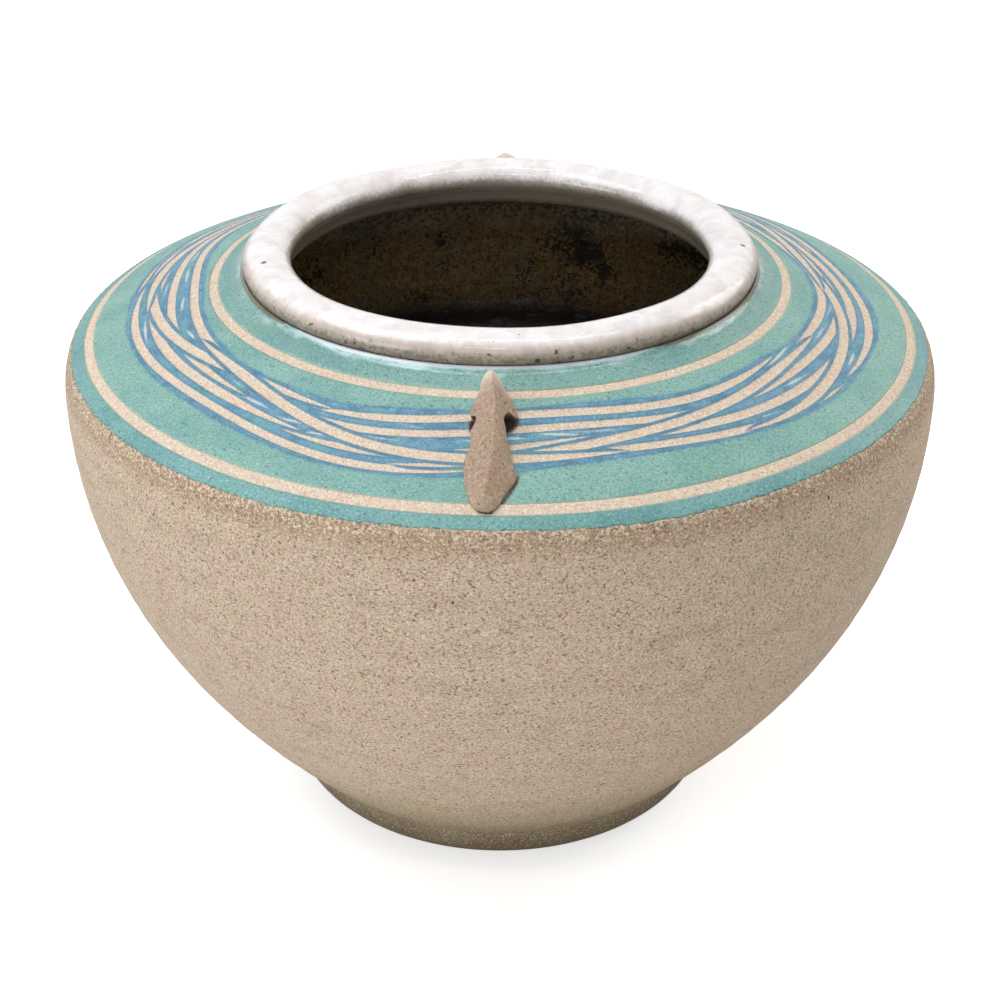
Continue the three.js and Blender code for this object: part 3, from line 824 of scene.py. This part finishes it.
white_glaze, tree, place, thin, inner = start("white_glaze_thin_and_shaded_below", "thin", "inner_face")
thin = frayed(place, thin, 0.5, 2.6, 4, 21)
specks = add(tree, "Math", {0: mottle(place, 1.0, 3, 17), 1: thin}, operation="MULTIPLY")
white = coated(place, "#fefaf9", [
    ("#f7eeec", 0.42, 0.64, 1.0, 9.0),
    ("#d9cbc4", 0.52, 0.72, 0.3, 0.7, 3, 28),
    ("#d6cdc9", 0.48, 0.68, 0.4, 5.0, 5, 73),
    # The clay shows through where the glaze is thin, and iron bleeds into it; the greying is partly painted
    # shade
    ("#d6c8bf", 0.35, 0.85, 1.0, thin),
    ("#b5a799", 0.62, 1.2, 1.0, thin),
    ("#978b7d", 1.0, 1.6, 1.0, thin),
    ("#6a5b4b", 0.5, 0.85, 0.6, specks),
    ("#3a2b20", 7.8, 8.2, 0.9, frayed(place, thin, 10.0, 1.7, 2, 47)),
    ("#241a13", 0.0, 1.0, 0.9, spots(place, 12.0, 1.6, 0.4))])
# Inside the lip it breaks to brown a little below the top
rise = frayed(place, running_height(place), 3.0, 1.0, 4, 57)
lowest = coated(place, "#857b6d", [("#4a4035", 0.48, 0.66, 0.7, 0.9, 3, 64)])
browning = coated(place, white, [
    ("#b0a597", RIM_CENTRE + 6.9, RIM_CENTRE + 3.5, 1.0, rise),
    (lowest, RIM_CENTRE + 4.5, RIM_CENTRE + 0.5, 1.0, rise)])
base = coated(place, white, [(browning, 0.0, 1.0, 1.0, inner)])
gloss = add(tree, "MapRange", {0: thin, 1: 0.5, 2: 1.3, 3: 0.1, 4: 0.3})
end(tree, base, gloss, mottle(place, 2.2, 3, 44), 0.12)

# %% Iron-brown glaze, black where it is thick, a little duller than the white, with painted shade deep inside and painted light under the rim
brown_glaze, tree, place = start("dark_brown_liner_glaze")
rise = running_height(place)
black = frayed(place, mottle(place, 16.0, 5, 31), 0.6, 1.0, 3, 81)
top = coated(place, "#dacdb4", [("#8b7c66", 0.45, 0.6, 1.0, 1.2, 4, 39)])
base = coated(place, "#84693f", [
    ("#a18453", 0.38, 0.64, 1.0, 2.0, 4),
    ("#80795a", 0.52, 0.66, 0.6, 12.0, 3, 77),
    ("#3d2f1c", 0.5, 0.62, 0.8, 0.7, 3, 13),
    ("#15100a", 0.88, 0.94, 0.9, black),
    # Near black deep down in the pot: painted shade
    ("#0b0805", 102.0, 93.0, 0.95, rise),
    # Pale at the liner's top: painted light where the rim shades it
    (top, 118.0, 130.0, 0.9, rise),
    ("#877c6c", RIM_CENTRE - 9.0, RIM_CENTRE - 1.0, 1.0, rise),
    ("#656d72", 0.58, 0.68, 0.5, 6.0, 3, 91, 3)])
end(tree, base, 0.3, mottle(place, 2.5, 3, 9), 0.12)
print("white and brown glazes are ready")


# %% The rolled rim of clay, and the glaze that wraps it
RIM_WOBBLE = 0.22
GLAZE = 0.4
TUCK = 0.5


def strayed(turn, slowest, fastest, count, seed):
    """Waves kept to one side of zero, so that what they move never leaves the CAD's box"""
    return RIM_WOBBLE * (np.clip(waves(turn, slowest, fastest, count, seed), -1.6, 1.6) - 1.6)


def rim_oval(angles, depth, columns):
    """An oval section about the rim's centre at a depth below the glaze. The whole ring wanders a
    little inwards and down, as a rolled lip does."""
    turn = around(columns)
    sway, sink = strayed(turn, 2, 6, 5, 51), strayed(turn, 3, 9, 6, 52)
    flat, tall = np.cos(angles)[:, None], np.sin(angles)[:, None]
    radius = RIM_RADIUS + 0.4 * sway + (RIM_WIDTH / 2 - depth) * flat
    height = RIM_CENTRE + 0.5 * sink * (1 + tall) + (RIM_HEIGHT / 2 - depth) * tall
    return radius, height


radius, height = rim_oval(np.linspace(0, TURN, 41)[:-1], 0.75, 360)
turned("rim_roll", radius, np.maximum(height, LAND_HEIGHT - 0.4), {"carved": 0, "under_slip": 0},
       ring=True, material=stoneware, slot="stoneware", stands_for="rolled_rim")

wrap = np.linspace(-CREASE_ANGLE - TUCK, math.pi + CREASE_ANGLE + 0.35, 72)
back = wrap[::-6]
# Thin glaze, and painted shade, over the lower outside of the rim
thin_glaze_and_shade = np.concatenate([1.25 * (1 - ease(wrap, -0.45, 1.3)), 0 * back])[:, None]
inward = np.concatenate([ease(wrap, 1.9, 2.5), 0 * back + 1])[:, None]
turned("rim_white_glaze", *stacked(rim_oval(wrap, 0.0, 900), rim_oval(back, GLAZE, 900)),
       {"thin": thin_glaze_and_shade, "inner_face": inward}, ring=True,
       material=white_glaze, slot="rim_glaze", stands_for="rim_glaze")

# %% The glaze that lines the pot
FINGER_TURNS = 24
LINER_START = 6.0
turn = around(480)
tuck = np.array([[-0.6, -0.6], [-1.18, -1.2], [-1.04, -2.0], [-0.88, -2.9]]) + [BORE_RADIUS, RIM_CENTRE]
open_face = np.concatenate([tuck, resample(hollow(WALL + 0.7), 110)[::-1]])
clay_face = resample(hollow(WALL + 0.3), 26)
up = np.linspace(1, 0, len(open_face))[:, None]
finger = 0.12 * (1 + np.cos(TURN * (up * FINGER_TURNS + turn / TURN)))
face_radius = open_face[:, :1] - finger * ease(up, 0.2, 0.3) * ease(1 - up, 0.06, 0.12)
radius = np.concatenate([clay_face[:, :1] + 0 * turn, face_radius])
height = np.concatenate([clay_face[:, 1:], open_face[:, 1:]]) + 0 * turn
radius[0] = radius[-1] = LINER_START
turned("liner_brown_glaze", radius, height, {}, ring=False,
       material=brown_glaze, slot="liner_glaze", stands_for="liner_glaze")

# %% [markdown]
# ## The pierced lugs
#
# Each lug is a roll of clay laid down the slope, pinched up into a ridge beside the rim and
# pierced from side to side under its strap. A smooth line through its stations gives the loft, a
# long oval cuts the hole, and a fine remesh rounds every edge as wet fingers do. The last step
# moves each point by soft lumps and fine pits, because nothing here was made by a machine.

# %% The same stoneware smoothed by wet fingers, so it is a little less rough than the wall
lug_clay, tree, place, apex, lug_crack_shade, hole = start("smoothed_lug_clay", "apex", "lug_crack_shade", "hole")
base = coated(place, "#ac957d", [
    ("#b19480", 0.4, 0.62, 1.0, 4.0),
    ("#7d6754", 0.5, 0.28, 0.6, 0.7),
    ("#e4d4c3", 0.53, 0.76, 0.5, 0.7),
    ("#55463a", 0.63, 0.71, 0.75, 1.0, 2, 33),
    ("#e9dacb", 0.0, 1.0, 0.9, apex),
    # Painted shade: near black along the crack under the lower right edge, and dark on the hole's walls
    ("#2b211a", 0.0, 1.0, 0.9, lug_crack_shade),
    ("#3b2b1e", 0.0, 1.0, 0.85, hole)])
end(tree, base, 0.8, clay_relief(place), 0.1)
print("lug clay is ready")


# %% A smooth line through stations
def smooth_line(values, count):
    """A Catmull-Rom curve: between two points, a cubic whose slopes are half the step from the
    point before to the point after"""
    at = np.linspace(0, len(values) - 1, count)
    low = np.minimum(at.astype(int), len(values) - 2)
    t = (at - low)[:, None]
    before, here = values[np.maximum(low - 1, 0)], values[low]
    there, beyond = values[low + 1], values[np.minimum(low + 2, len(values) - 1)]
    leave, arrive = (there - before) / 2, (beyond - here) / 2
    return ((2 * here - 2 * there + leave + arrive) * t ** 3
            + (3 * there - 3 * here - 2 * leave - arrive) * t ** 2 + leave * t + here)


# %% Loft the lug in its own frame: x sideways, y down the slope, z off the slope
def lug_loft(rings=150, points=22):
    """Rings of corners: a section between a dome and a keel, whose points lie further to the crest's
    side the higher they are"""
    line = smooth_line(STATIONS, rings)
    along, half, tall, foot_push, crest_push, sharp = (line[:, k, None] for k in range(6))
    dome, keel = smooth_line(DOME, points), smooth_line(KEEL, points)
    sharp = np.clip(sharp, 0, 1)
    x = (dome[:, 0] + sharp * (keel[:, 0] - dome[:, 0])) * half * LUG_WIDTH / 2
    z = (dome[:, 1] + sharp * (keel[:, 1] - dome[:, 1])) * tall * LUG_HEIGHT
    x = np.concatenate([x[:, :1], x], 1)
    z = np.concatenate([0 * z[:, :1] - LUG_ROOT, z], 1)
    x = np.concatenate([x, -x[:, -2::-1]], 1)
    z = np.concatenate([z, z[:, -2::-1]], 1)
    rise = np.clip(z / (tall * LUG_HEIGHT), 0, 1)
    shift = LUG_WIDTH * (foot_push + rise * (crest_push - foot_push))
    return np.stack([x - shift, along * LUG_LENGTH + 0 * x, z], -1)


def lug_mesh(name, corners):
    """A closed mesh from rings of corners, with a flat face on each end"""
    rings, points = corners.shape[:2]
    faces = [face[::-1] for face in quads(rings, points, False)]
    faces.append(list(range(points)))
    faces.append(list(range(rings * points - 1, (rings - 1) * points - 1, -1)))
    return shape(name, corners.reshape(-1, 3), faces)


def hole_corners():
    """An oval tube from side to side under the strap. It widens into a cave under the right wing."""
    turn = np.linspace(0, TURN, 41)[:-1]
    side, along, half, top = (smooth_line(DRILL, 60)[:, k, None] for k in range(4))
    y = along * LUG_LENGTH + half * np.cos(turn)
    z = (top + DRILL_LOW) / 2 + (top - DRILL_LOW) / 2 * np.sin(turn)
    return np.stack([-side + 0 * turn, y, z], -1)


# %% Pierce it, round it, and read the rounded surface back
VOXEL = 0.24
ridge, drill = lug_mesh("lug_ridge", lug_loft()), lug_mesh("lug_drill", hole_corners())
pierce = ridge.modifiers.new("pierce", "BOOLEAN")
pierce.object, pierce.operation, pierce.solver = drill, "DIFFERENCE", "EXACT"
knead = ridge.modifiers.new("knead", "REMESH")
knead.mode, knead.voxel_size = "VOXEL", VOXEL * MM
soften = ridge.modifiers.new("soften", "SMOOTH")
soften.factor, soften.iterations = 0.5, 9
bpy.context.view_layer.update()
rounded = bpy.data.meshes.new_from_object(ridge.evaluated_get(bpy.context.evaluated_depsgraph_get()))
lug_places, lug_normals = np.zeros((2, len(rounded.vertices) * 3))
rounded.vertices.foreach_get("co", lug_places)
rounded.vertices.foreach_get("normal", lug_normals)
lug_places, lug_normals = lug_places.reshape(-1, 3) / MM, lug_normals.reshape(-1, 3)
lug_faces = [list(polygon.vertices) for polygon in rounded.polygons]
for helper in (ridge, drill):
    bpy.data.objects.remove(helper)
print(f"rounded lug: {len(lug_places)} points")


# %% Knead each lug and set it in its place
def lumps(places, size, seed, count=9):
    """Soft lumps of about a size in mm: a mean of sine waves that run in random directions"""
    rng = np.random.default_rng(seed)
    direction = rng.normal(size=(count, 3))
    direction *= (TURN / size) / np.linalg.norm(direction, axis=1)[:, None]
    phase = rng.uniform(0, TURN, count)
    return np.sin(places @ direction.T + phase).sum(1) / math.sqrt(count)


def in_hole(places):
    """1 on the walls of the hole, which are painted in shade, and 0 away from them: the sum of squares
    of the way from the drill's axis over its half length and half height is 1 where the drill cut"""
    side = -places[:, 0]
    along, half, top = (np.interp(side, DRILL[:, 0], DRILL[:, k]) for k in (1, 2, 3))
    off_axis = ((places[:, 1] - along * LUG_LENGTH) / (half + 0.25)) ** 2
    off_axis += ((places[:, 2] - (top + DRILL_LOW) / 2) / ((top - DRILL_LOW) / 2 + 0.2)) ** 2
    return 1 - ease(off_axis, 0.95, 1.12)


def set_lug(name, turn, seed, broad, stands_for):
    """The lug's frame leans with the slope, stands where its top lies, and is turned round the pot.
    broad says how much wider than the first its crest was left beside the rim."""
    move = 0.13 * lumps(lug_places, 6.0, seed) + 0.05 * lumps(lug_places, 2.2, seed + 1) - 0.05
    x, y, z = (lug_places + lug_normals * move[:, None]).T
    pressed = broad * ease(z, 3.0, 6.0) * (1 - ease(y, 0.05 * LUG_LENGTH, 0.5 * LUG_LENGTH))
    x, z = x * (1 + pressed), z - 0.2 * pressed
    side, down, above = lug_places.T
    lower_right = 0.35 + 0.65 * ease(0.5 * (down - 0.8 * LUG_LENGTH) - side, -1, 4)
    marks = {
        "apex": 1 - ease(down / LUG_LENGTH, 0.0, 0.22 + 0.1 * broad),
        # Painted shade along the crack at the lower right edge, and on the walls of the hole
        "lug_crack_shade": lower_right * (1 - ease(above, 0.2, 0.8)) * ease(down, 18, 26),
        "hole": in_hole(lug_places)}
    top_r, top_z = outside(SHOULDER_LENGTH - LUG_FROM_RIM)
    tip_r, tip_z = outside(SHOULDER_LENGTH - LUG_FROM_RIM - LUG_LENGTH)
    lean = math.atan2(top_z - tip_z, tip_r - top_r)
    out = y * math.cos(lean) + z * math.sin(lean) + top_r
    up = z * math.cos(lean) - y * math.sin(lean) + top_z
    places = np.stack([out * math.sin(turn) - x * math.cos(turn),
                       -x * math.sin(turn) - out * math.cos(turn), up], -1)
    make_piece(name, places, lug_faces, marks, material=lug_clay, slot="lug_clay", stands_for=stands_for)


set_lug("lug_front", 0.0, 61, 0.0, "front_lug")
set_lug("lug_rear", math.pi, 71, 1.1, "rear_lug")

# %% [markdown]
# ## Camera, light and floor
#
# The picture looks down on the pot at 28 degrees from a little over half a metre. A large soft
# lamp stands at the upper left, one low in front and one behind on the right. A narrow bright
# strip, like a window, draws the thin highlights on the glaze. The pale floor throws light back
# up under the belly. What the camera sees beyond the pot is white by the colour of the floor and
# world alone, so no extra light falls on the clay.

# %% Camera
CAMERA_DISTANCE = 0.55
CAMERA_RISE = 28.36
CAMERA_TURN = 1.6
TARGET_HEIGHT = 0.079
LAMP_DISTANCE = 1.5


def aim(thing, turn, rise, distance):
    """Sets a camera or lamp at a turn round the pot and a rise above it, both in degrees, so that
    it looks at the middle of the pot"""
    turn, rise = math.radians(turn), math.radians(rise)
    reach = distance * math.cos(rise)
    thing.location = (reach * math.sin(turn), -reach * math.cos(turn),
                      TARGET_HEIGHT + distance * math.sin(rise))
    thing.rotation_euler = (math.pi / 2 - rise, 0, turn)


camera = put("camera", bpy.data.cameras.new("camera"))
aim(camera, CAMERA_TURN, CAMERA_RISE, CAMERA_DISTANCE)
camera.data.sensor_width = 36.0
camera.data.lens = 74.16
camera.data.clip_start = 0.01
bpy.context.scene.camera = camera


# %% Lamps
def lamp(name, turn, rise, wide, tall, power, tint):
    """A soft panel of a size in metres and a power in watts that looks at the middle of the pot"""
    light = bpy.data.lights.new(name, "AREA")
    light.shape, light.size, light.size_y, light.energy = "RECTANGLE", wide, tall, power
    light.color = colour(tint)[:3]
    aim(put(name, light), turn, rise, LAMP_DISTANCE)


lamp("key_left_above", -90, 60, 0.8, 0.8, 8.3, "#f6f9ff")
lamp("low_front_left", -50, 4, 0.8, 0.8, 9.6, "#f8fbff")
lamp("behind_right", 120, 30, 0.8, 0.8, 6.0, "#fffaf0")
lamp("fill_in_front", 0, 27, 0.8, 0.4, 1.9, "#fffaf4")
lamp("window_strip_front", -6, 54, 0.5, 0.07, 1.6, "#ffffff")
lamp("skylight", 180, 82, 1.2, 0.06, 3.0, "#f6faff")

# %% World and floor
ROOM_LIGHT = 0.35
FLOOR_GLOW = 0.6
FLOOR_REACH = 3000.0
WHITE = (1, 1, 1, 1)
world = bpy.data.worlds.new("white_room")
bpy.context.scene.world = world
tree = emptied(world)
by_camera, by_gloss, through_glass = (
    add(tree, "LightPath", out=ray)
    for ray in ("Is Camera Ray", "Is Glossy Ray", "Is Transmission Ray"))
mirrored = add(tree, "Math", {0: by_gloss, 1: through_glass}, operation="MAXIMUM")
seen = add(tree, "Math", {0: by_camera, 1: mirrored}, operation="MAXIMUM")
strength = add(tree, "MapRange", {0: seen, 3: ROOM_LIGHT, 4: 1.0})
sky = add(tree, "Background", {"Color": WHITE, "Strength": strength})
add(tree, "OutputWorld", {"Surface": sky}, out=None)

corners = FLOOR_REACH * np.array([[-1, -1, 0], [1, -1, 0], [1, 1, 0], [-1, 1, 0]])
floor = shape("floor", corners, [(0, 1, 2, 3)])
floor_paint = bpy.data.materials.new("white_floor")
tree = emptied(floor_paint)
matt_white = add(tree, "BsdfDiffuse", {"Color": colour("#fafafa")})
by_camera = add(tree, "LightPath", out="Is Camera Ray")
shown = add(tree, "MapRange", {0: by_camera, 4: FLOOR_GLOW})
glow = add(tree, "Emission", {"Color": WHITE, "Strength": shown})
both = add(tree, "AddShader", {0: matt_white, 1: glow})
add(tree, "OutputMaterial", {"Surface": both}, out=None)
floor.data.materials.append(floor_paint)
bpy.context.scene.view_settings.view_transform = "Standard"
